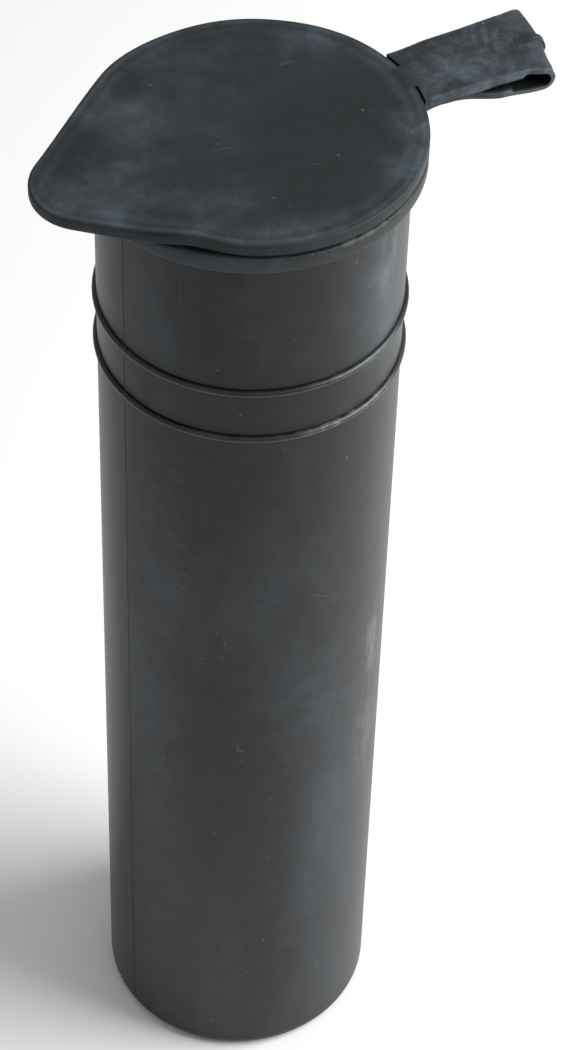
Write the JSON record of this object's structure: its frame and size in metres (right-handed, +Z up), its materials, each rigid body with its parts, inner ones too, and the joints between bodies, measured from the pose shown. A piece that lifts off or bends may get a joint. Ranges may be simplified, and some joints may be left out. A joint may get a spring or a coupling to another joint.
{
  "type": "capped rubber tube",
  "caption": "Upright rubber tube with a flanged mouth, raised hoop ribs and a captive flip lid: a flat teardrop cap with a finger tab, held to the rim by a folded strap.",
  "frame": {"origin": "centre of the tube's flat bottom face", "axes": "+Z up along the tube's axis to the lid; +X towards the strap's fold, so the pull tab points along -X"},
  "size_m": [0.0833, 0.0522, 0.2009],
  "materials": {
    "tube_rubber": "black moulded rubber, semi-gloss, with hazy smudges and fine scuffs",
    "rib_rubber": "black moulded rubber, worn a little shinier on the crests",
    "flange_rubber": "black moulded rubber, satin, with pale dust along the rim",
    "lid_rubber": "black moulded rubber, matt, with a blotchy grey-blue bloom and worn edges",
    "strap_rubber": "black moulded rubber, satin, creased at the fold",
    "plug_rubber": "black moulded rubber, satin"
  },
  "bodies": {
    "tube": {"tube_wall": "tube_rubber", "tube_floor": "tube_rubber", "upper_rib": "rib_rubber", "lower_rib": "rib_rubber", "mouth_flange": "flange_rubber"},
    "strap_lower": {"strap_lower_leaf": "strap_rubber"},
    "fold": {"strap_fold": "strap_rubber"},
    "strap_upper": {"strap_upper_leaf": "strap_rubber"},
    "lid": {"lid_plate": "lid_rubber", "lid_plug": "plug_rubber", "plug_seal_bead": "plug_rubber"},
    "tab": {"pull_tab": "lid_rubber"}
  },
  "joints": [
    {"name": "strap_root_bend", "type": "hinge", "parent": "tube", "child": "strap_lower", "pos_m": [0.0263, 0, 0.195], "axis": [0, 1, 0], "range_deg": [0, 60]},
    {"name": "fold_lower_bend", "type": "hinge", "parent": "strap_lower", "child": "fold", "pos_m": [0.04684, 0, 0.19766], "axis": [0, 1, 0], "range_deg": [0, 90]},
    {"name": "fold_upper_bend", "type": "hinge", "parent": "fold", "child": "strap_upper", "pos_m": [0.04684, 0, 0.20034], "axis": [0, 1, 0], "range_deg": [0, 90]},
    {"name": "lid_neck_bend", "type": "hinge", "parent": "strap_upper", "child": "lid", "pos_m": [0.02585, 0, 0.1995], "axis": [0, 1, 0], "range_deg": [0, 25]},
    {"name": "tab_bend", "type": "hinge", "parent": "lid", "child": "tab", "pos_m": [-0.0235, 0, 0.1995], "axis": [0, 1, 0], "range_deg": [0, 30]}
  ],
  "couplings": [
    {"joint": "fold_upper_bend", "follows": "fold_lower_bend", "ratio": 1}
  ]
}
